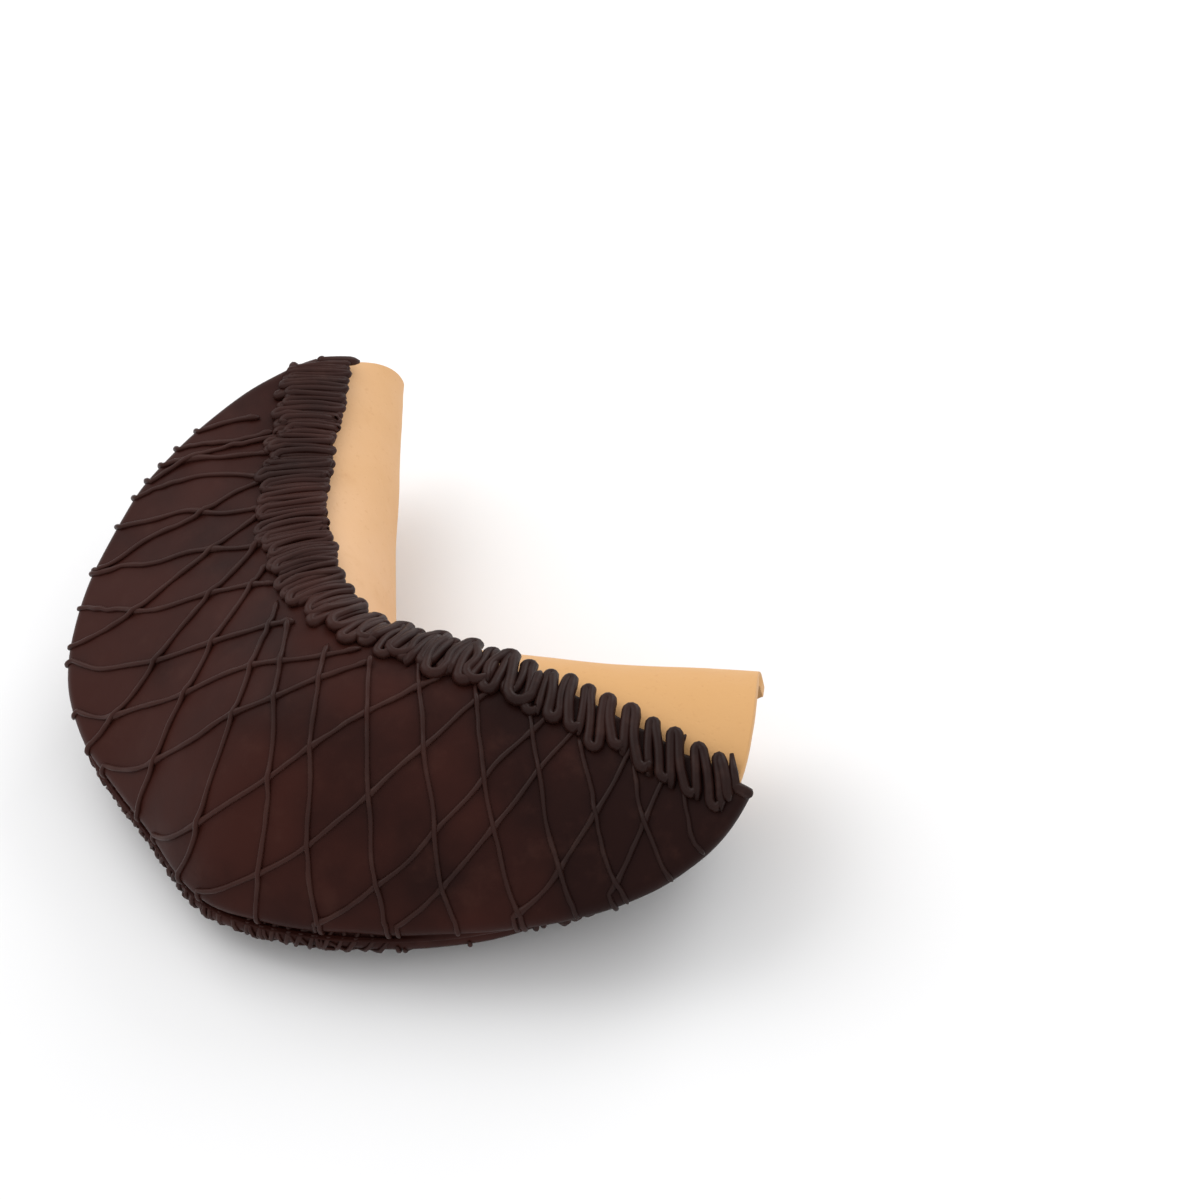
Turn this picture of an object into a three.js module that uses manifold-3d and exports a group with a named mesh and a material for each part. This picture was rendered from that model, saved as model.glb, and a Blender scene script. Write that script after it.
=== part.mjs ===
// A giant fortune cookie, dipped in dark chocolate and finished with a piped zigzag border.
//
// A round wafer is folded in half over a wide, soft spine, and the spine is then bent in the
// middle. That leaves a notch, two open-ended arms, and a front and a back layer whose rims
// meet along a seam. The dip covers everything but a bare band along the spine, and closes
// the mouths of the arms. A bead of chocolate is piped in a zigzag over each edge of the dip.
//
// A place on the wafer is named by two numbers. "along" runs along the spine, from the left
// arm (negative) to the right arm (positive). "across" runs over the spine, from -1 at the
// rim of the back layer, through 0 on the spine, to +1 at the rim of the front layer.
import * as THREE from "three";
import { mergeVertices } from "three/addons/utils/BufferGeometryUtils.js";
import Module from "manifold-3d";

// Sizes in millimetres, angles in radians. A pair holds the left arm's value, then the right's.
const rimReach = 125; // from the spine's middle to the rim, measured over the wafer
const spineReach = 104.5; // from the notch to the end of either arm
const rimRoundness = 2.21; // 2 draws the rim as an ellipse, more makes it squarer
const waferThickness = 3.4;
const armDroop = [0.807, 0.621]; // how far each arm bends down from the straight spine
const notchSoftness = 10; // how gently the spine turns at the notch
const seamLean = 0.161; // lean of the middle section towards the right arm
const sectionFan = 0.851 / rimReach; // how fast the sections fan out, per millimetre of spine
const notchSection = { width: 44.5, depth: 90.7, taper: 0.64 };
const armSection = { width: [29.4, 29.2], depth: [117, 79], taper: 0.91 };
const notchSpread = 48.2; // how far along the spine the middle section keeps its shape
const sideBlend = 31; // over this length the left arm's values turn into the right arm's
const backFlatness = 0.5; // the back layer bulges this much of the front layer's bulge
const backShortness = [0.05, 0.22]; // the back layer turns round less by this share
const seamReach = 62; // the lips meet about this far to each side of the notch
const seamClosure = 0.95; // share of the whole loop that a section at the seam goes round
const lipGap = 3.75; // from the seam's middle plane to each layer's outer face
const clearance = 0.36; // between the wafer, the dip and the piping

const dipThickness = 1.8;
const mouthHollow = 0.35; // how deep the dip sinks into a mouth, as a share of its width
const rimCover = 1.3; // extra depth of the dip over the edge of the rim
const notchBand = 30; // bare width on each side of the spine at the notch
const bandShoulder = [8, 3]; // the band widens by this much just past the notch
const bandShoulderReach = 15;
const frontBandGrowth = [-3, 31]; // and by this much more towards the arm's end
const backBandGrowth = [30, 56];
const waferEnds = [0.987, 0.9995]; // the wafer's last two columns, as shares of the spine
const dipEnd = 0.965; // the dip stops at this share of the spine
const thinnestStrip = 0.05; // share of a layer that the dip covers at the very least

const beadRadius = 1.4;
const beadSides = 5;
const beadSeat = 0.5; // the bead's straight pieces clear the bulge of the layer by this much
const strokeSpacing = 3.25; // between neighbouring strokes of the zigzag
const strokeOverBare = 2.5; // how far a stroke reaches over the bare wafer
const strokeLength = [18, 14];
const shortestStroke = 9; // the zigzag stops where the dip leaves less room than this

// The turn that lays the cookie on its back layer, notch towards +Y.
const restTurn = new THREE.Euler(1.6801, 0.0300, -0.9623, "ZYX");
const restFlat = 0.9; // depth of the flat spots that it rests on

const waferColor = 0xe9bd8e;
const chocolateColor = 0x3a221b;
const pipingColor = 0x3d241c;

// ---- The fold ----

function mix(from, to, share) {
  return from + (to - from) * share;
}

// A pair's value at a place along the spine.
function sided(pair, along) {
  return mix(pair[0], pair[1], 0.5 * (1 + Math.tanh(along / sideBlend)));
}

// From the spine to the rim, measured over the wafer.
function reachAt(along) {
  const share = Math.min(Math.abs(along) / spineReach, 1);
  return rimReach * (1 - share ** rimRoundness) ** (1 / rimRoundness);
}

function sectionAt(along) {
  const notchShare = Math.exp(-((along / notchSpread) ** 2));
  return {
    width: mix(sided(armSection.width, along), notchSection.width, notchShare),
    depth: mix(sided(armSection.depth, along), notchSection.depth, notchShare),
    taper: mix(armSection.taper, notchSection.taper, notchShare),
  };
}

// The spine is a V with a soft corner, in the plane y = 0.
function spinePoint(along) {
  const bent = Math.hypot(along, notchSoftness);
  const droop = mix(armDroop[0], armDroop[1], 0.5 * (1 + along / bent));
  const drop = Math.sin(droop) * (bent - notchSoftness);
  return new THREE.Vector3(along * Math.cos(droop), 0, -drop);
}

// A section is half an ellipse on each side, tapered to a wedge at the lips. The lips meet
// along the seam. Past its ends a section uses only the part of the ellipse that the wafer
// reaches round, so the lips stand open as the mouth of an arm.
function foldPoint(along, across) {
  const { width, depth, taper } = sectionAt(along);
  const halfLoop = Math.PI * Math.sqrt((width ** 2 + (depth / 2) ** 2) / 2);
  const open = ((reachAt(along) / halfLoop) ** -8 + 1) ** (-1 / 8);
  const seamShare = Math.exp(-((along / seamReach) ** 4));
  const used = mix(open, seamClosure, seamShare);
  const short = across < 0 ? sided(backShortness, along) * (1 - seamShare) : 0;
  const turn = Math.PI * Math.abs(across) * used * (1 - short);
  const wedge = Math.max(Math.cos(turn / 2), 0) ** taper;
  const bulge = width * Math.sin(turn) * wedge;
  const layer = across < 0 ? -backFlatness * bulge : bulge;
  const lip = (Math.sign(across) * lipGap * turn) / Math.PI;
  const rise = (depth * (1 - Math.cos(turn))) / 2;
  const lean = seamLean + sectionFan * along;
  const point = spinePoint(along);
  point.x += rise * Math.sin(lean);
  point.y += layer + lip;
  point.z += rise * Math.cos(lean);
  return point;
}

// The outward normal, from two short steps over the surface.
function foldNormal(along, across) {
  const step = 1e-3;
  const over = foldPoint(along, across + step).sub(foldPoint(along, across - step));
  const onward = foldPoint(along + step, across).sub(foldPoint(along - step, across));
  return over.cross(onward).normalize();
}

// A point lifted off the wafer's outer face.
function lifted(along, across, lift) {
  return foldPoint(along, across).addScaledVector(foldNormal(along, across), lift);
}

// ---- Solids ----

const wasm = await Module();
wasm.setup();

function closed(geometry) {
  geometry.deleteAttribute("normal");
  geometry.deleteAttribute("uv");
  const merged = mergeVertices(geometry, 1e-4);
  merged.computeVertexNormals();
  return merged;
}

// A flat slab, 2 by 2 and 1 thick, with every vertex moved to where place(x, y, z) says.
// z is 0 on its lower face and 1 on its upper face.
function bentSlab(columns, rows, place) {
  const slab = new THREE.BoxGeometry(2, 2, 1, columns, rows, 1);
  const vertices = slab.getAttribute("position");
  for (let i = 0; i < vertices.count; i += 1) {
    const point = place(vertices.getX(i), vertices.getY(i), vertices.getZ(i) + 0.5);
    vertices.setXYZ(i, point.x, point.y, point.z);
  }
  turnDiagonals(slab);
  return closed(slab);
}

// Cuts the squares of a slab's lower face along their other diagonal, so that the face lies
// evenly over the upper face of the layer beneath it.
function turnDiagonals(slab) {
  const lowerFace = slab.groups[5];
  const corners = slab.index.array;
  for (let i = lowerFace.start; i < lowerFace.start + lowerFace.count; i += 6) {
    const [a, b, d, , c] = corners.slice(i, i + 6);
    corners.set([a, b, c, a, c, d], i);
  }
}

// Where the dip starts on a layer, as a distance over the wafer from the spine.
function bandWidth(along, isFront) {
  const growth = isFront ? frontBandGrowth : backBandGrowth;
  const shoulder = 1 - Math.exp(-((along / bandShoulderReach) ** 2));
  const towardsEnd = (along / spineReach) ** 2;
  return notchBand + sided(bandShoulder, along) * shoulder + sided(growth, along) * towardsEnd;
}

function dipAcross(along, isFront) {
  return Math.min(bandWidth(along, isFront) / reachAt(along), 1 - thinnestStrip);
}

// The wafer and the dip share their columns and their rows, so that the gap between them is
// even. Columns crowd together towards the arm ends, where the rim turns quickly.
const dipColumns = 30;
const layerRows = 7; // from the rim to the edge of the dip
const bandRows = 4; // from the edge of the dip to the spine

function columnPlace(column) {
  return spineReach * dipEnd * Math.sin((Math.PI * column) / dipColumns);
}

function waferGeometry() {
  const columns = dipColumns + 2 * waferEnds.length;
  const rows = 2 * (layerRows + bandRows);
  return bentSlab(columns, rows, (x, y, z) => {
    const column = Math.round((-x * columns) / 2);
    const past = Math.abs(column) - dipColumns / 2;
    const along =
      past > 0 ? Math.sign(column) * spineReach * waferEnds[past - 1] : columnPlace(column);
    const row = Math.round((Math.abs(y) * rows) / 2);
    const edge = dipAcross(along, y > 0);
    const across =
      row < bandRows ? (edge * row) / bandRows : mix(edge, 1, (row - bandRows) / layerRows);
    return lifted(along, Math.sign(y) * across, -waferThickness * (1 - z));
  });
}

// A point just off the rim, in line with the layer and square to the rim.
function offRim(along, side, lift) {
  const step = 1e-3;
  const onward = foldPoint(along + step, side).sub(foldPoint(along - step, side));
  const outward = onward.cross(foldNormal(along, side)).normalize();
  return lifted(along, side, lift).addScaledVector(outward, side * (lift + rimCover));
}

// The dip runs from its front edge, round the lips, to its back edge. Its middle row runs
// down the seam, and sinks into the open mouth of each arm.
function dipGeometry() {
  const wrapRows = 2;
  const rows = 2 * (layerRows + wrapRows);
  return bentSlab(dipColumns, rows, (x, y, z) => {
    const along = columnPlace((-x * dipColumns) / 2);
    const side = y < 0 ? 1 : -1;
    const lift = clearance + dipThickness * z;
    const row = Math.round((Math.abs(y) * rows) / 2);
    if (row === 0) {
      return mouthMiddle(along, lift);
    }
    if (row === 1) {
      return offRim(along, side, lift);
    }
    const edge = dipAcross(along, side > 0);
    return lifted(along, side * mix(1, edge, (row - wrapRows) / layerRows), lift);
  });
}

// Midway between the two rims, sunk towards the spine where they stand apart.
function mouthMiddle(along, lift) {
  const front = offRim(along, 1, lift);
  const back = offRim(along, -1, lift);
  const inwards = spinePoint(along).sub(front).setY(0).normalize();
  const lipWidth = 4 * waferThickness;
  const hollow = mouthHollow * Math.max(front.distanceTo(back) - lipWidth, 0);
  return front.lerp(back, 0.5).addScaledVector(inwards, hollow);
}

// The centre line of the zigzag: a stroke up, a short turn, a stroke down, and so on. Each
// stroke starts over the bare band and ends over the dip, and bends with the layer.
function zigzagPath(isFront) {
  const side = isFront ? 1 : -1;
  const lift = 2 * clearance + dipThickness + beadRadius + beadSeat;
  const path = [];
  let along = -spineReach;
  let towardsRim = true;
  while (along < spineReach) {
    const reach = reachAt(along);
    const start = bandWidth(along, isFront) - strokeOverBare;
    const end = Math.min(start + sided(strokeLength, along), reach - beadRadius);
    if (end - start < shortestStroke) {
      along += strokeSpacing * 0.5;
      continue;
    }
    const stops = towardsRim ? [0, 0.5, 1] : [1, 0.5, 0];
    const stroke = stops.map((stop) => (side * mix(start, end, stop)) / reach);
    path.push(...stroke.map((across) => ({ along, across, lift })));
    const pace = Math.min(...stroke.map((across) => spacingPace(along, across)));
    along += strokeSpacing / pace;
    towardsRim = !towardsRim;
  }
  return path;
}

// How far two neighbouring strokes lie apart for each millimetre between them on the spine.
function spacingPace(along, across) {
  const step = 0.5;
  const reach = reachAt(along);
  const here = foldPoint(along, across);
  return here.distanceTo(foldPoint(along + step, (across * reach) / reachAt(along + step))) / step;
}

// A cylinder whose rings are moved to stand square on the zigzag.
function pipingGeometry(isFront) {
  const path = zigzagPath(isFront);
  const centres = path.map(({ along, across, lift }) => lifted(along, across, lift));
  const bead = new THREE.CylinderGeometry(1, 1, 1, beadSides, path.length - 1);
  const vertices = bead.getAttribute("position");
  for (let i = 0; i < vertices.count; i += 1) {
    const ring = Math.round((0.5 - vertices.getY(i)) * (path.length - 1));
    const before = centres[Math.max(ring - 1, 0)];
    const after = centres[Math.min(ring + 1, path.length - 1)];
    const up = foldNormal(path[ring].along, path[ring].across);
    const onward = after.clone().sub(before).projectOnPlane(up).normalize();
    const sideways = onward.clone().cross(up);
    const point = centres[ring].clone();
    point.addScaledVector(sideways, beadRadius * vertices.getX(i));
    point.addScaledVector(up, -beadRadius * vertices.getZ(i));
    vertices.setXYZ(i, point.x, point.y, point.z);
  }
  return closed(bead);
}

// ---- At rest ----

function boxAround(geometries) {
  const box = new THREE.Box3();
  for (const geometry of geometries) {
    geometry.computeBoundingBox();
    box.union(geometry.boundingBox);
  }
  return box;
}

function solidOf(geometry) {
  return new wasm.Manifold(
    new wasm.Mesh({
      numProp: 3,
      vertProperties: geometry.getAttribute("position").array,
      triVerts: new Uint32Array(geometry.index.array),
    }),
  );
}

function geometryOf(solid) {
  const mesh = solid.getMesh();
  const geometry = new THREE.BufferGeometry();
  geometry.setAttribute("position", new THREE.BufferAttribute(mesh.vertProperties, 3));
  geometry.setIndex(new THREE.BufferAttribute(mesh.triVerts, 1));
  geometry.computeVertexNormals();
  return geometry;
}

// Lays the cookie on its back layer and takes restFlat off whatever it rests on, as setting
// chocolate does on a tray. The origin is at the middle of its footprint.
function laidDown(geometries) {
  const turn = new THREE.Matrix4().makeRotationFromEuler(restTurn);
  geometries.forEach((geometry) => geometry.applyMatrix4(turn));
  const box = boxAround(geometries);
  const middle = box.getCenter(new THREE.Vector3());
  geometries.forEach((geometry) => {
    geometry.translate(-middle.x, -middle.y, -box.min.z - restFlat);
  });
  const trayDepth = 20;
  const tray = closed(new THREE.BoxGeometry(2 * rimReach, 2 * rimReach, trayDepth));
  tray.translate(0, 0, -trayDepth / 2);
  const traySolid = solidOf(tray);
  return geometries.map((geometry) => geometryOf(solidOf(geometry).subtract(traySolid)));
}

// ---- The object ----

const pieces = [
  { name: "wafer", geometry: waferGeometry(), color: waferColor, roughness: 0.75 },
  { name: "chocolate_dip", geometry: dipGeometry(), color: chocolateColor, roughness: 0.45 },
  { name: "piping_front", geometry: pipingGeometry(true), color: pipingColor, roughness: 0.4 },
  { name: "piping_back", geometry: pipingGeometry(false), color: pipingColor, roughness: 0.4 },
];

const cookie = new THREE.Group();
laidDown(pieces.map(({ geometry }) => geometry)).forEach((geometry, i) => {
  const { name, color, roughness } = pieces[i];
  const material = new THREE.MeshStandardMaterial({ color, roughness, metalness: 0 });
  const mesh = new THREE.Mesh(geometry, material);
  mesh.name = name;
  cookie.add(mesh);
});

export default cookie;
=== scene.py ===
import math
import random

import bmesh
import bpy
import numpy as np
from mathutils import Euler, Matrix, Vector, noise


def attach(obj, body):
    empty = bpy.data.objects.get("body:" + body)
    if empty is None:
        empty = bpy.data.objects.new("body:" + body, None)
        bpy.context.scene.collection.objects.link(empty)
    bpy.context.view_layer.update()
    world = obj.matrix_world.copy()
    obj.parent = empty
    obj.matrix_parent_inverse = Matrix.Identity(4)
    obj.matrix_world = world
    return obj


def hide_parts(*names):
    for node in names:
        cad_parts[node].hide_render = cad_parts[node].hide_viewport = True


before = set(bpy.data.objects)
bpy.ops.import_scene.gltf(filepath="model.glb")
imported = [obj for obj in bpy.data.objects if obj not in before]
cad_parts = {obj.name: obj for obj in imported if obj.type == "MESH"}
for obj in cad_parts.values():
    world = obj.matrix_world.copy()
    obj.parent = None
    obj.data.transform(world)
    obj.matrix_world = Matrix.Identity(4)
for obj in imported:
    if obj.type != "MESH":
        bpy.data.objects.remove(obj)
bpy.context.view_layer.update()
print("frame loaded")

# Sizes are in millimetres until a shape is placed. A pair holds the left arm's value, then the right's.
fold = {
    "rimReach": 125, "spineReach": 104.5, "rimRoundness": 2.21, "waferThickness": 3.4,
    "armDroop": (0.807, 0.621), "notchSoftness": 10, "seamLean": 0.161, "sectionFan": 0.851 / 125,
    "notchWidth": 44.5, "notchDepth": 90.7, "notchTaper": 0.64,
    "armWidth": (29.4, 29.2), "armDepth": (117, 79), "armTaper": 0.91,
    "notchSpread": 48.2, "sideBlend": 31, "backFlatness": 0.5,
    "seamReach": 62, "seamClosure": 0.95, "lipGap": 3.75,
    "backShortness": (0.05, 0.30), "backTipShortness": (0.1, 0.62),
    "frontShortness": (0, 0.06), "frontTipGrowth": (0, 0.42), "tipSharpness": 10,
    "notchBand": 30, "bandShoulder": (8, 3), "bandShoulderReach": 15,
    "frontBandGrowth": (-3, 31), "backBandGrowth": (30, 56),
}
rest = {
    "turn": Euler((1.6801, 0.0300, -0.9623), "XYZ"),  # lays the cookie on its back layer
    "place": Vector((0.35, 2.66, 25.86)),  # of the spine's middle
}
restMatrix = np.array(rest["turn"].to_matrix())


def mix(low, high, share):
    return low + (high - low) * share


def sided(pair, along):
    return mix(pair[0], pair[1], 0.5 * (1 + np.tanh(along / fold["sideBlend"])))


def reachAt(along):
    share = np.minimum(np.abs(along) / fold["spineReach"], 1)
    roundness = fold["rimRoundness"]
    return fold["rimReach"] * np.maximum(1 - share ** roundness, 1e-9) ** (1 / roundness)


def sectionAt(along):
    share = np.exp(-((along / fold["notchSpread"]) ** 2))
    width = mix(sided(fold["armWidth"], along), fold["notchWidth"], share)
    depth = mix(sided(fold["armDepth"], along), fold["notchDepth"], share)
    return width, depth, mix(fold["armTaper"], fold["notchTaper"], share)


# How much shorter a layer is than the round wafer's reach, away from the closed seam.
def shortness(along, side):
    away = 1 - np.exp(-((along / fold["seamReach"]) ** 4))
    tip = (along / fold["spineReach"]) ** fold["tipSharpness"]
    back = sided(fold["backShortness"], along) * away + sided(fold["backTipShortness"], along) * tip
    front = sided(fold["frontShortness"], along) * away - sided(fold["frontTipGrowth"], along) * tip
    return np.where(side < 0, back, front)


# The reach that widths over a layer are measured by. On the back it stays the round wafer's own.
def measuredReach(along, side):
    return reachAt(along) * np.where(side < 0, 1, 1 - shortness(along, side))


def foldPoint(along, across):
    along, across = np.broadcast_arrays(np.asarray(along, float), np.asarray(across, float))
    width, depth, taper = sectionAt(along)
    halfLoop = math.pi * np.sqrt((width ** 2 + (depth / 2) ** 2) / 2)
    opened = ((reachAt(along) / halfLoop) ** -8.0 + 1) ** (-1 / 8)
    seamShare = np.exp(-((along / fold["seamReach"]) ** 4))
    used = mix(opened, fold["seamClosure"], seamShare)
    short = shortness(along, np.where(across < 0, -1.0, 1.0))
    turn = math.pi * np.abs(across) * used * (1 - short)
    bulge = width * np.sin(turn) * np.maximum(np.cos(turn / 2), 0) ** taper
    layer = np.where(across < 0, -fold["backFlatness"] * bulge, bulge)
    lip = np.sign(across) * fold["lipGap"] * turn / math.pi
    rise = depth * (1 - np.cos(turn)) / 2
    lean = fold["seamLean"] + fold["sectionFan"] * along
    bent = np.hypot(along, fold["notchSoftness"])
    droop = mix(fold["armDroop"][0], fold["armDroop"][1], 0.5 * (1 + along / bent))
    spineX = along * np.cos(droop)
    spineZ = -np.sin(droop) * (bent - fold["notchSoftness"])
    return np.stack([spineX + rise * np.sin(lean), layer + lip, spineZ + rise * np.cos(lean)], -1)


def unit(vectors):
    return vectors / np.maximum(np.linalg.norm(vectors, axis=-1, keepdims=True), 1e-12)


def foldNormal(along, across):
    step = 1e-3
    over = foldPoint(along, across + step) - foldPoint(along, across - step)
    onward = foldPoint(along + step, across) - foldPoint(along - step, across)
    return unit(np.cross(over, onward))


def rimOutward(along, side):
    step = 1e-3
    onward = foldPoint(along + step, side) - foldPoint(along - step, side)
    return unit(np.cross(onward, foldNormal(along, side))) * np.reshape(side, np.shape(side) + (1,))


# A point over a layer. Past share 1 it goes round the lip, by a quarter turn for each further 1.
def coatPoint(along, side, share, lift):
    given = (np.asarray(value, float) for value in (along, side, share, lift))
    along, side, share, lift = np.broadcast_arrays(*given)
    flat = np.minimum(share, 1)
    normal = foldNormal(along, side * flat)
    point = foldPoint(along, side * flat) + normal * lift[..., None]
    half = fold["waferThickness"] / 2
    rim = foldPoint(along, side) - foldNormal(along, side) * half
    turn = (np.maximum(share - 1, 0) * math.pi / 2)[..., None]
    around = np.cos(turn) * foldNormal(along, side) + np.sin(turn) * rimOutward(along, side)
    return np.where((share > 1)[..., None], rim + around * (half + lift)[..., None], point)


def placed(points):
    return (points @ restMatrix.T + np.array(rest["place"])) / 1000


def bandWidth(along, side):
    front, back = sided(fold["frontBandGrowth"], along), sided(fold["backBandGrowth"], along)
    shoulder = sided(fold["bandShoulder"], along) * (1 - np.exp(-((along / fold["bandShoulderReach"]) ** 2)))
    return fold["notchBand"] + shoulder + np.where(side > 0, front, back) * (along / fold["spineReach"]) ** 2


def smooth(obj):
    for face in obj.data.polygons:
        face.use_smooth = True
    return obj


def objectFrom(bm, name):
    bmesh.ops.remove_doubles(bm, verts=bm.verts, dist=1e-6)
    mesh = bpy.data.meshes.new(name)
    bm.to_mesh(mesh)
    bm.free()
    obj = bpy.data.objects.new(name, mesh)
    bpy.context.scene.collection.objects.link(obj)
    return smooth(obj)


# A grid from -1 to 1 both ways, with each vertex moved to where place says.
def sheetObject(name, columns, rows, place):
    bm = bmesh.new()
    bmesh.ops.create_grid(bm, x_segments=columns, y_segments=rows, size=1)
    flat = np.array([v.co[:2] for v in bm.verts])
    for vertex, point in zip(bm.verts, placed(place(flat[:, 0], flat[:, 1]))):
        vertex.co = point
    return objectFrom(bm, name)


def relief(points, size, seed):
    return np.array([noise.noise(Vector(p) / size + Vector((seed, 0, 0))) for p in points])


# The whole folded wafer, which shows only in a band along the spine and at the open ends.
waferLook = {
    "columns": 120, "rows": 72, "reach": 0.9995, "sink": 0.1,
    "swell": 0.45, "swellSize": 22, "grain": 0.07, "grainSize": 3.2,
}


def waferPlace(x, y):
    along = -np.sin(x * math.pi / 2) * fold["spineReach"] * waferLook["reach"]
    point = foldPoint(along, y)
    swell = relief(point, waferLook["swellSize"], 3) * waferLook["swell"]
    grain = relief(point, waferLook["grainSize"], 9) * waferLook["grain"]
    return point + foldNormal(along, y) * (swell + grain - waferLook["sink"])[:, None]


wafer = sheetObject("waferShell", waferLook["columns"], waferLook["rows"], waferPlace)
wall = wafer.modifiers.new("wall", "SOLIDIFY")
wall.thickness = fold["waferThickness"] / 1000
wall.offset = -1
rounding = wafer.modifiers.new("rounding", "SUBSURF")
rounding.levels = rounding.render_levels = 1
print("wafer made")

dipLook = {
    "columns": 230, "rows": 150, "frontEnds": (0.962, 0.922), "backEnds": (0.93, 0.875), "thickness": 1.1,
    "lift": 2.1, "edge": 2.2, "edgeLift": 0.15, "edgeMost": 0.93, "wander": 1.2, "wanderSize": 9,
    "swell": 0.55, "swellSize": 30, "dent": 0.3, "dentSize": 12,
    "lipShare": 1.1, "mouthBulge": 0.03, "mouthDepth": 0.8,
    "closedGap": 6, "seamFill": 2.8, "lipRows": 0.1, "mouthRows": 0.09,
}


# How far the dip's own surface swells at a place.
def swellAt(along, side, share):
    place = foldPoint(along, side * np.minimum(share, 1))
    swell = relief(place, dipLook["swellSize"], 5) * dipLook["swell"]
    return swell + relief(place, dipLook["dentSize"], 8) * dipLook["dent"]


def dipEdge(along, side):
    size, apart = dipLook["wanderSize"], 5
    wander = np.array([noise.noise(Vector((a / size, s * apart, 0))) for a, s in zip(along, side)])
    width = bandWidth(along, side) + wander * dipLook["wander"]
    return np.minimum(width / measuredReach(along, side), dipLook["edgeMost"])


# The rows run from the front's edge to its lip, across the mouth, and from the back's lip to its edge.
def dipPlace(x, y):
    frontEnd, backEnd = (np.where(x > 0, *dipLook[layer]) for layer in ("frontEnds", "backEnds"))
    turned = 0.5 + 0.5 * np.clip(y / dipLook["mouthRows"], -1, 1)
    along = -np.sin(x * math.pi / 2) * fold["spineReach"] * mix(frontEnd, backEnd, turned)
    side = np.where(y < 0, 1.0, -1.0)
    way = np.abs(y)
    mouth, lip = dipLook["mouthRows"], dipLook["mouthRows"] + dipLook["lipRows"]
    edge = dipEdge(along, side)
    lipEnd = 1 + dipLook["lipShare"]
    roundLip = mix(lipEnd, 1, (way - mouth) / dipLook["lipRows"])
    share = np.where(way < lip, roundLip, mix(1, edge, (way - lip) / (1 - lip)))
    fromEdge = np.clip((share - edge) * reachAt(along) / dipLook["edge"], 0, 1)
    full = dipLook["lift"] + swellAt(along, side, share)
    lift = dipLook["edgeLift"] + (full - dipLook["edgeLift"]) * np.sqrt(1 - (1 - fromEdge) ** 2)
    point = coatPoint(along, side, np.minimum(share, lipEnd), lift)
    front = coatPoint(along, 1.0, lipEnd, dipLook["lift"])
    back = coatPoint(along, -1.0, lipEnd, dipLook["lift"])
    across = 0.5 - 0.5 * np.clip(-y / mouth, -1, 1)
    inward = unit((foldPoint(along, np.zeros_like(along)) - (front + back) / 2) * np.array([1, 0, 1]))
    gap = np.linalg.norm(front - back, axis=-1)
    fill = dipLook["seamFill"] * np.exp(-((along / fold["seamReach"]) ** 4))
    hollow = dipLook["mouthDepth"] - fill - dipLook["mouthBulge"] * np.maximum(gap - dipLook["closedGap"], 0)
    bow = inward * (hollow * 4 * across * (1 - across))[:, None]
    web = front * (1 - across)[:, None] + back * across[:, None] + bow
    return np.where((way < mouth)[:, None], web, point)


dip = sheetObject("dippedCoat", dipLook["columns"], dipLook["rows"], dipPlace)
coat = dip.modifiers.new("coat", "SOLIDIFY")
coat.thickness = dipLook["thickness"] / 1000
coat.offset = -1
print("dip made")


bead = {"endTaper": 0.35, "nextTaper": 0.8}


# Beads of chocolate. A strand is its along, side, share and lift at each point, and its radius.
def beadObject(name, strands, sides):
    curve = bpy.data.curves.new(name, "CURVE")
    curve.dimensions = "3D"
    curve.bevel_depth = 0.001
    curve.bevel_resolution = sides
    curve.use_fill_caps = True
    for along, side, share, lift, radius in strands:
        points = placed(coatPoint(along, side, share, lift))
        spline = curve.splines.new("POLY")
        spline.points.add(len(points) - 1)
        ends = np.ones(len(points))
        ends[[0, -1]] = bead["endTaper"]
        ends[[1, -2]] = bead["nextTaper"]
        spline.points.foreach_set("co", np.column_stack([points, np.ones(len(points))]).ravel())
        spline.points.foreach_set("radius", radius * ends)
    shaped = bpy.data.objects.new(name + "Curve", curve)
    bpy.context.scene.collection.objects.link(shaped)
    graph = bpy.context.evaluated_depsgraph_get()
    mesh = bpy.data.meshes.new_from_object(shaped.evaluated_get(graph))
    mesh.name = name
    bpy.data.objects.remove(shaped)
    bpy.data.curves.remove(curve)
    obj = bpy.data.objects.new(name, mesh)
    bpy.context.scene.collection.objects.link(obj)
    bm = bmesh.new()
    bm.from_mesh(mesh)
    bmesh.ops.remove_doubles(bm, verts=bm.verts, dist=2e-6)
    bmesh.ops.recalc_face_normals(bm, faces=bm.faces)
    bm.to_mesh(mesh)
    bm.free()
    return smooth(obj)


border = {
    "start": -100, "end": 95.5, "spacing": (1.95, 3.3), "radius": (0.98, 1.48), "length": (16.0, 13.0),
    "overBare": 2.2, "sink": 0.35, "seat": 0.9, "past": 1.5, "shortest": 4, "stops": 9, "turnStops": 6,
    "lean": (-6.5, 1.0), "leanBlend": 24, "leanEnd": 106, "pinch": 0.36, "turnSwell": (1.3, 1.08),
    "lengthJitter": 0.1, "startJitter": 0.9, "spacingJitter": 0.2, "sway": 0.25, "lipQuarter": 6.0,
    "slowest": 0.35, "lastShare": 2.6, "firstShare": 0.02,
}
secondPass = {"spacing": (3.0, 5.8), "radius": (0.9, 1.4), "end": 55, "rise": 0.75}
# Short strokes that cap the ends of the front border, as along, first share, last share and radius.
cap = {"places": [(-100.6, 0.72, 1.2, 1.4), (96.2, 0.88, 1.75, 1.6)], "points": 14, "rise": 0.6}
# Fine strokes round the back's lip, as start, end, radius, spacing and lean.
hem = {
    "runs": [(-66, 32, 0.62, 3.4, 8), (-62, 28, 0.55, 4.6, -9), (60, 78, 1.3, 3.8, 2)],
    "length": 9.0, "past": 9.0,
}


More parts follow.
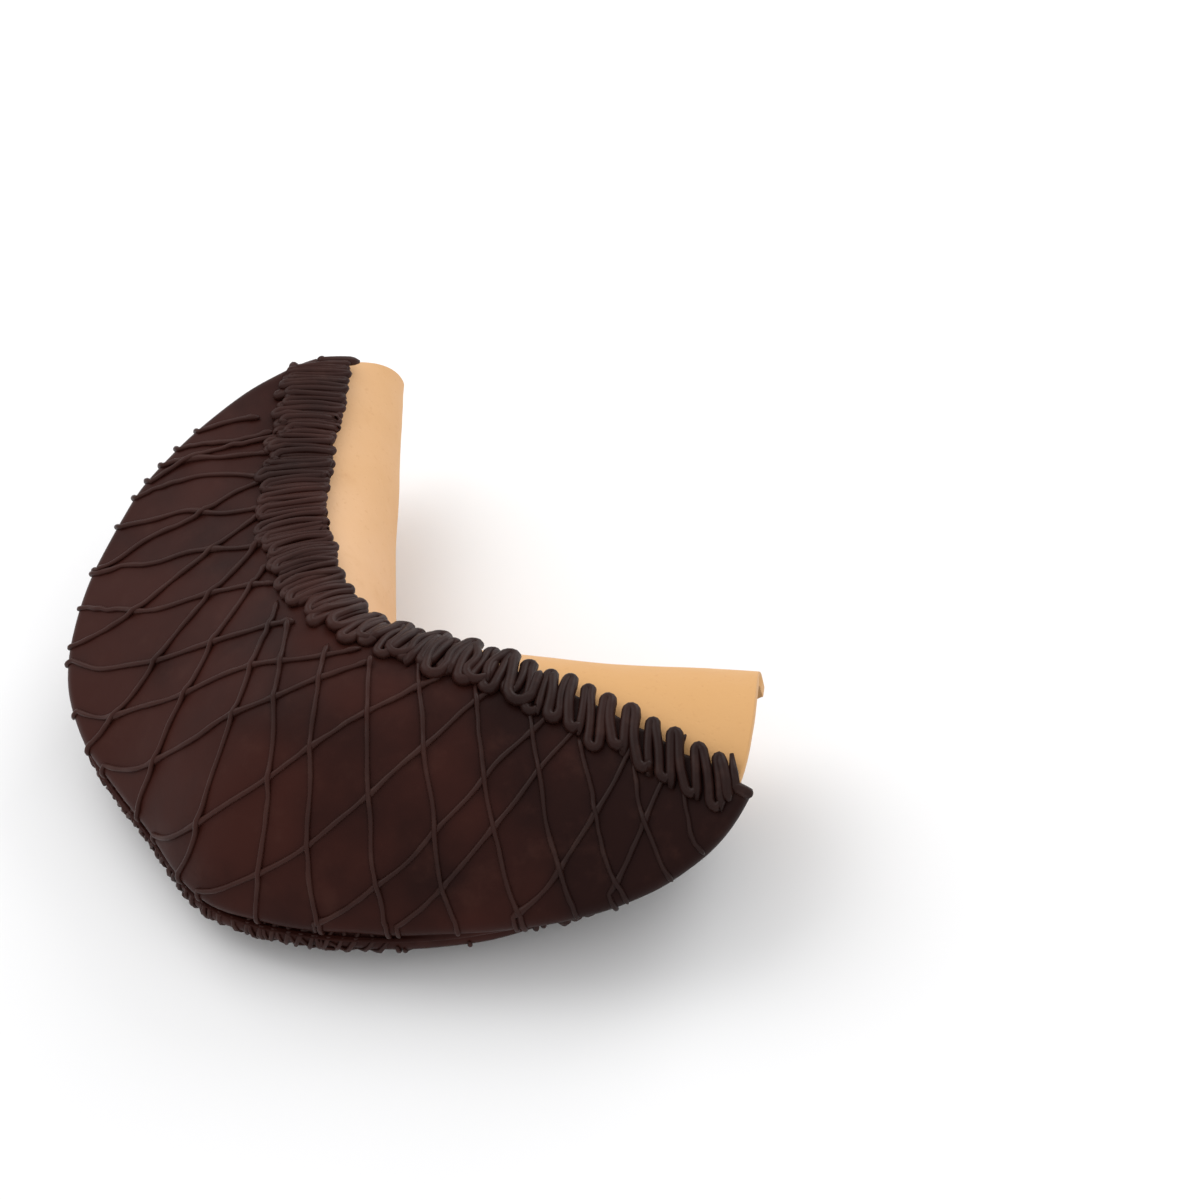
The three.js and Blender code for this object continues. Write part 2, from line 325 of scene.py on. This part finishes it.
# How far the layer's surface moves on for each step along the spine, in the middle of a stroke.
def paceAt(along, side, share):
    ahead = 0.5
    move = foldPoint(along, side * share) - foldPoint(along + ahead, side * share)
    return float(np.linalg.norm(move) / ahead)


# Strokes joined by round turns. Two that share a turn by the bare band draw together there.
def zigzag(side, look, rng):
    rows = []
    along = look["start"]
    upward = False
    while along < look["end"]:
        reach = float(measuredReach(along, side))
        band, length = look["place"](along, reach)
        band += rng.uniform(-1, 1) * border["startJitter"]
        length *= 1 + rng.uniform(-1, 1) * border["lengthJitter"]
        far = min(band + length, reach + look["past"])
        if far - band < border["shortest"]:
            along += 1.0
            continue
        pace = paceAt(along, side, min((band + far) / 2 / reach, 0.98))
        loose = 1 + rng.uniform(-1, 1) * border["spacingJitter"]
        step = float(sided(look["spacing"], along)) / max(pace, border["slowest"]) * loose
        radius = float(sided(look["radius"], along)) * (1 + rng.uniform(-0.12, 0.1))
        hump = rng.uniform(-0.1, 0.5)
        sway = rng.uniform(-1, 1) * border["sway"] * step
        lean = float(sided(look["lean"], along)) * (1 - math.exp(-((along / border["leanBlend"]) ** 2)))
        lean *= max(1 - abs(along / border["leanEnd"]) ** 4, 0)
        draw = border["pinch"] * step / 2 * (-1 if upward else 1)
        near, top = band + radius, far - step * pace / 2
        swollen = float(sided(border["turnSwell"], along))
        height = radius * border["seat"] + look["rise"] - border["sink"]
        for stop in range(border["stops"]):
            way = stop / (border["stops"] - 1)
            out = way if upward else 1 - way
            bow = math.sin(math.pi * way)
            across = lean * (out - 0.5) + draw * (1 - out) ** 2 + sway * bow
            thick = mix(swollen, 1, bow ** 0.5)
            rows.append((along + across, mix(near, top, out), height + hump * bow, radius * thick))
        edge, outward, size = (top, 1, step) if upward else (near, -1, step * (1 - border["pinch"]))
        shift = lean * (0.5 if upward else -0.5) + step / 2
        for stop in range(1, border["turnStops"]):
            angle = math.pi * stop / border["turnStops"]
            measure = edge + outward * size * pace / 2 * math.sin(angle)
            rows.append((along + shift - size / 2 * math.cos(angle), measure, height, radius * swollen))
        along += step
        upward = not upward
    path = np.array(rows[:1 - border["turnStops"]])  # without the last turn
    along = np.clip(path[:, 0], border["start"] + 1, border["end"] + 2)
    reaches = measuredReach(along, side)
    past = path[:, 1] - reaches
    share = np.where(past > 0, 1 + past / border["lipQuarter"], path[:, 1] / reaches)
    share = np.clip(share, border["firstShare"], border["lastShare"])
    return along, side, share, path[:, 2] + dipLook["lift"], path[:, 3]


def capStrand(side, along, low, high, radius):
    share = np.linspace(low, high, cap["points"])
    return np.full_like(share, along), side, share, dipLook["lift"] + cap["rise"], np.full_like(share, radius)


def hemStrand(side, run, rng):
    start, end, radius, spacing, lean = run

    def overLip(along, reach):
        return reach - hem["length"], hem["length"] + hem["past"]

    look = {
        "start": start, "end": end, "radius": (radius, radius), "spacing": (spacing, spacing),
        "lean": (lean, lean), "rise": 0, "past": hem["past"], "place": overLip,
    }
    return zigzag(side, look, rng)


def borderStrands(side, seed):
    rng = random.Random(seed)

    def overEdge(along, reach):
        return float(bandWidth(along, side)) - border["overBare"], float(sided(border["length"], along))

    first = {**border, "rise": 0, "place": overEdge}
    strands = [zigzag(side, first, rng), zigzag(side, {**first, **secondPass}, rng)]
    if side > 0:
        return strands + [capStrand(side, *place) for place in cap["places"]]
    return strands + [hemStrand(side, run, rng) for run in hem["runs"]]


frontBorder = beadObject("frontBorder", borderStrands(1, seed=4), sides=4)
backBorder = beadObject("backBorder", borderStrands(-1, seed=11), sides=3)
print("borders made")

# Each drizzled line, as the places (along, share of the layer) that it passes.
drizzle = {
    "radius": 0.72, "sink": 0.38, "knot": 0.45, "knotReach": 1.6, "wobble": 1.1, "waver": 0.7,
    "spread": 0.22, "blob": 1.25, "overKnot": 0.9, "step": 1.2,
    "tail": 1.05, "tailSteps": 6, "tailShare": 0.16,
    "rising": [
        [(-90, 0.96), (-89, 0.86), (-87, 0.73)],
        [(-88, 0.97), (-86, 0.86), (-81, 0.60)],
        [(-86, 0.97), (-79, 0.69), (-75, 0.55)],
        [(-82, 0.97), (-79, 0.80), (-67, 0.50)],
        [(-78, 1.00), (-70, 0.71), (-58, 0.47)],
        [(-73, 1.00), (-61, 0.68), (-46, 0.44)],
        [(-68, 1.00), (-46, 0.60), (-30, 0.43)],
        [(-60, 1.00), (-33, 0.61), (-12, 0.41)],
        [(-51, 1.00), (-28, 0.68), (10, 0.36)],
        [(-38, 1.00), (-9, 0.62), (14, 0.39)],
        [(-18, 1.00), (-2, 0.78), (6, 0.67), (31, 0.40)],
        [(0, 1.00), (18, 0.75), (35, 0.57), (44, 0.38)],
        [(22, 1.00), (39, 0.74), (58, 0.46)],
        [(36, 1.00), (50, 0.74), (65, 0.49)],
        [(56, 1.00), (68, 0.77), (76, 0.60)],
        [(72, 1.00), (80, 0.80), (87, 0.66)],
    ],
    "falling": [
        [(-78, 0.50), (-82, 0.72), (-84, 1.00)],
        [(-67, 0.48), (-69, 0.70), (-73, 1.00)],
        [(-57, 0.47), (-56, 0.66), (-62, 1.00)],
        [(-48, 0.46), (-42, 0.66), (-44, 1.00)],
        [(-39, 0.44), (-28, 0.66), (-25, 0.88), (-24, 1.00)],
        [(-24, 0.43), (-11, 0.57), (-5, 0.80), (-6, 1.00)],
        [(-14, 0.42), (0, 0.53), (9, 0.75), (12, 1.00)],
        [(2, 0.38), (13, 0.60), (23, 1.00)],
        [(14, 0.38), (26, 0.65), (35, 1.00)],
        [(24, 0.36), (34, 0.56), (46, 1.00)],
        [(38, 0.38), (47, 0.63), (57, 1.00)],
        [(51, 0.43), (58, 0.68), (66, 1.00)],
        [(64, 0.56), (68, 0.72), (74, 1.00)],
        [(75, 0.63), (78, 0.82), (82, 1.00)],
        [(84, 0.72), (88, 1.00)],
    ],
}


def wave(places, size, shake, layer):
    return np.array([noise.noise(Vector((place / size, shake, layer))) for place in places])


# A smooth line through the stops, which ends in a tail that hangs round the lip.
def drizzleLine(stops, side, rng):
    alongs, shares = (np.array(v, float) for v in zip(*stops))
    far = int(np.argmax(shares))
    order = slice(None) if far else slice(None, None, -1)
    alongs, shares = alongs[order], shares[order]
    place = foldPoint(alongs, shares * side)
    lengths = np.concatenate([[0], np.cumsum(np.linalg.norm(np.diff(place, axis=0), axis=1))])
    count = max(int(lengths[-1] / drizzle["step"]), 6)
    at = np.linspace(0, lengths[-1], count)
    degree = min(len(stops) - 1, 2)
    along = np.polyval(np.polyfit(lengths, alongs, degree), at)
    share = np.polyval(np.polyfit(lengths, shares, degree), at)
    shake = rng.uniform(0, 50)
    along += drizzle["wobble"] * wave(at, 16, shake, 0)
    along += drizzle["waver"] * np.maximum(wave(at, 30, shake, 4), 0) * wave(at, 4, shake, 9)
    tail = int(drizzle["tail"] * rng.uniform(0.7, 1.35) * drizzle["tailSteps"])
    along = np.append(along, along[-1] + np.zeros(tail))
    share = np.append(share, share[-1] + np.arange(1, tail + 1) * drizzle["tailShare"])
    radius = drizzle["radius"] * (1 + drizzle["spread"] * wave(range(len(along)), 5, shake, 7))
    radius[:3] *= drizzle["blob"]  # where the line starts
    return along, share, radius


def drizzleStrands(side, seed):
    rng = random.Random(seed)
    lines = [[drizzleLine(stops, side, rng) for stops in drizzle[way]] for way in ("rising", "falling")]
    strands = []  # the rising lines lie below and swell where a falling line crosses them
    for layer, group in enumerate(lines):
        others = np.concatenate([foldPoint(a, np.minimum(s, 1) * side) for a, s, r in lines[1 - layer]])
        for along, share, radius in group:
            here = foldPoint(along, np.minimum(share, 1) * side)
            near = np.linalg.norm(here[:, None] - others[None], axis=-1).min(1)
            knot = np.exp(-((near / drizzle["knotReach"]) ** 2)) * (share < 1)
            lift = radius - drizzle["sink"] + dipLook["lift"] + (drizzle["overKnot"] * knot if layer else 0)
            swollen = radius * (1 + drizzle["knot"] * knot * (layer == 0))
            strands.append((along, side, share, lift + swellAt(along, side, share), swollen))
    return strands


frontDrizzle = beadObject("frontDrizzle", drizzleStrands(1, seed=21), sides=3)
backDrizzle = beadObject("backDrizzle", drizzleStrands(-1, seed=33), sides=3)
print("drizzle made")


class Field:
    def __init__(self, board, socket):
        self.board, self.socket = board, socket

    def math(self, operation, first, second):
        return self.board.add("ShaderNodeMath", {"operation": operation}, {0: first, 1: second})

    def __add__(self, other):
        return self.math("ADD", self, other)

    def __radd__(self, other):
        return self.math("ADD", other, self)

    def __sub__(self, other):
        return self.math("SUBTRACT", self, other)

    def __rsub__(self, other):
        return self.math("SUBTRACT", other, self)

    def __mul__(self, other):
        return self.math("MULTIPLY", self, other)

    def __rmul__(self, other):
        return self.math("MULTIPLY", other, self)


class Board:
    def __init__(self, name):
        self.material = bpy.data.materials.new(name)
        self.material.use_nodes = True
        self.tree = self.material.node_tree
        self.shader = self.tree.nodes["Principled BSDF"]
        self.coords = self.add("ShaderNodeTexCoord", {}, {}, "Object")

    def put(self, socket, value):
        if isinstance(value, Field):
            self.tree.links.new(value.socket, socket)
        else:
            socket.default_value = value

    def add(self, kind, settings, values, output=0):
        node = self.tree.nodes.new(kind)
        for name, value in settings.items():
            setattr(node, name, value)
        for name, value in values.items():
            self.put(node.inputs[name], value)
        return Field(self, node.outputs[output])

    def noise(self, size, detail=3, roughness=0.5):
        values = {"Vector": self.coords, "Scale": 1 / size, "Detail": detail, "Roughness": roughness}
        return self.add("ShaderNodeTexNoise", {}, values)

    def sideways(self):
        return self.add("ShaderNodeSeparateXYZ", {}, {"Vector": self.coords})

    def ramp(self, value, low, high):
        values = {"Value": value, "From Min": low, "From Max": high}
        return self.add("ShaderNodeMapRange", {"interpolation_type": "SMOOTHSTEP"}, values)

    def blend(self, share, first, second):
        return self.add("ShaderNodeMix", {"data_type": "RGBA"}, {0: share, 6: first, 7: second}, 2)

    def bump(self, height, distance, strength=1, under=None):
        values = {"Height": height, "Distance": distance, "Strength": strength}
        if under:
            values["Normal"] = under
        return self.add("ShaderNodeBump", {}, values)

    def finish(self, **sockets):
        for name, value in sockets.items():
            self.put(self.shader.inputs[name.replace("_", " ")], value)
        return self.material


def waferMaterial():
    look = {
        "pale": (0.72, 0.45, 0.26, 1), "gold": (0.60, 0.33, 0.128, 1), "toast": (0.50, 0.24, 0.085, 1),
        "bounceEdgeWobble": 0.035, "speck": 0.0016, "pore": 0.0022,
    }
    board = Board("bakedWafer")
    # painted light: the left arm is paler, standing in for the bounce light the white floor throws on it
    bounceLitLeft = board.ramp(board.noise(look["bounceEdgeWobble"]) * 0.05 + board.sideways(), -0.02, 0.07)
    color = board.blend(bounceLitLeft, look["pale"], look["gold"])
    toasted = board.ramp(board.noise(0.012, 5, 0.6), 0.58, 0.82) * 0.28
    color = board.blend(toasted, color, look["toast"])
    specks = board.ramp(board.noise(look["speck"], 2), 0.62, 0.74) * 0.22
    color = board.blend(specks, color, look["toast"])
    pores = board.add("ShaderNodeTexVoronoi", {}, {"Vector": board.coords, "Scale": 1 / look["pore"]})
    pits = board.ramp(pores, 0.0, 0.28)
    normal = board.bump(board.noise(0.006, 4), 0.0004, 0.5)
    normal = board.bump(pits, 0.00012, 0.35, normal)
    rough = 0.5 + 0.2 * board.noise(0.01)
    return board.finish(Base_Color=color, Roughness=rough, Normal=normal, Specular_IOR_Level=0.35)


def chocolateMaterial(name, look):
    board = Board(name)
    litLeftShare = board.ramp(board.noise(0.03, 4) - 3 * board.sideways(), 0.3, 0.8)  # painted light: lighter and warmer to the left, where the key lamp falls, and painted shade darker to the right, with noise mottling
    color = board.blend(litLeftShare, look["deep"], look["litWarm"])
    haze = board.ramp(board.noise(0.009, 5, 0.6), 0.5, 0.8) * look["haze"]
    color = board.blend(haze, color, look["bloom"])
    rough = look["rough"] + look["roughSpread"] * board.noise(0.007, 5)
    normal = board.bump(board.noise(0.011, 2), 0.0005, look["ripple"])
    normal = board.bump(board.noise(0.0011, 3), 0.00006, look["grain"], normal)
    shine = look["specular"]
    return board.finish(Base_Color=color, Roughness=rough, Normal=normal, Specular_IOR_Level=shine)


dipMaterial = chocolateMaterial("satinChocolate", {
    # the first two colours are the painted shaded and painted lit tones of one chocolate
    "deep": (0.0135, 0.0034, 0.0025, 1), "litWarm": (0.037, 0.0093, 0.0064, 1),
    "bloom": (0.058, 0.021, 0.015, 1),
    "haze": 0.3, "rough": 0.36, "roughSpread": 0.2, "ripple": 0.35, "grain": 0.4, "specular": 0.08,
})
pipedMaterial = chocolateMaterial("pipedChocolate", {
    # the first two colours are the painted shaded and painted lit tones of one chocolate
    "deep": (0.015, 0.0046, 0.0034, 1), "litWarm": (0.039, 0.0118, 0.0085, 1),
    "bloom": (0.062, 0.027, 0.020, 1),
    "haze": 0.4, "rough": 0.36, "roughSpread": 0.16, "ripple": 0.25, "grain": 0.35, "specular": 0.14,
})
biscuitMaterial = waferMaterial()
print("materials made")

pieces = [
    (wafer, biscuitMaterial, "biscuit", "wafer"),
    (dip, dipMaterial, "chocolate", "chocolate_dip"),
    (frontBorder, pipedMaterial, "piped_chocolate", "piping_front"),
    (backBorder, pipedMaterial, "piped_chocolate", "piping_back"),
    (frontDrizzle, pipedMaterial, "piped_chocolate", None),
    (backDrizzle, pipedMaterial, "piped_chocolate", None),
]
lowest = 0.0002  # metres above the floor
for obj, material, slotName, node in pieces:
    obj.data.materials.clear()
    obj.data.materials.append(material)
    for vertex in obj.data.vertices:
        vertex.co.z = max(vertex.co.z, lowest)  # set chocolate is flat where it lay on the tray
    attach(obj, "root")
    if node:
        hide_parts(node)

stage = {"floorSize": 4, "floorColor": (0.86, 0.86, 0.865, 1), "worldLight": 0.84}
bm = bmesh.new()
bmesh.ops.create_grid(bm, x_segments=1, y_segments=1, size=stage["floorSize"])
floor = objectFrom(bm, "floor")
board = Board("paleFloor")
matt = board.finish(Base_Color=stage["floorColor"], Roughness=0.85, Specular_IOR_Level=0.2)
floor.data.materials.append(matt)

world = bpy.data.worlds.new("studio")
world.use_nodes = True
sky = world.node_tree.nodes["Background"].inputs
sky["Color"].default_value = (1, 1, 1, 1)
sky["Strength"].default_value = stage["worldLight"]
bpy.context.scene.world = world

lights = {
    "key": {"place": (-0.5, 0.55, 1.0), "size": (1.1, 1.1), "power": 6.2},
    "fill": {"place": (0.5, -0.75, 0.9), "size": (0.9, 0.9), "power": 1.2},
    "rim": {"place": (0.85, 0.75, 0.7), "size": (0.6, 0.7), "power": 4.5},
}
for name, settings in lights.items():
    lamp = bpy.data.lights.new(name, "AREA")
    lamp.shape = "RECTANGLE"
    lamp.size, lamp.size_y = settings["size"]
    lamp.energy = settings["power"]
    lampObject = bpy.data.objects.new(name, lamp)
    lampObject.location = settings["place"]
    lampObject.rotation_euler = (-Vector(settings["place"])).to_track_quat("-Z", "Y").to_euler()
    bpy.context.scene.collection.objects.link(lampObject)

view = {
    "offset": Vector((0, -755.7, 833.1)),  # from the spine's middle
    "right": Vector((0.9805, -0.1437, -0.1306)), "up": Vector((0.1941, 0.7261, 0.6592)),
    "lens": 121.42, "sensor": 36, "clipStart": 0.05, "aim": (0.04767, 0.01455),
}
camera = bpy.data.cameras.new("camera")
camera.lens = view["lens"]
camera.sensor_width = view["sensor"]
camera.clip_start = view["clipStart"]
cameraObject = bpy.data.objects.new("camera", camera)
back = view["offset"].normalized()
forward = (view["right"] * view["aim"][0] + view["up"] * view["aim"][1] - back).normalized()
right = forward.cross(view["up"]).normalized()
turn = Matrix((right, right.cross(forward), -forward)).transposed().to_4x4()
cameraObject.matrix_world = Matrix.Translation((rest["place"] + view["offset"]) / 1000) @ turn
bpy.context.scene.collection.objects.link(cameraObject)
bpy.context.scene.camera = cameraObject
bpy.context.scene.view_settings.view_transform = "Standard"
print("stage made")
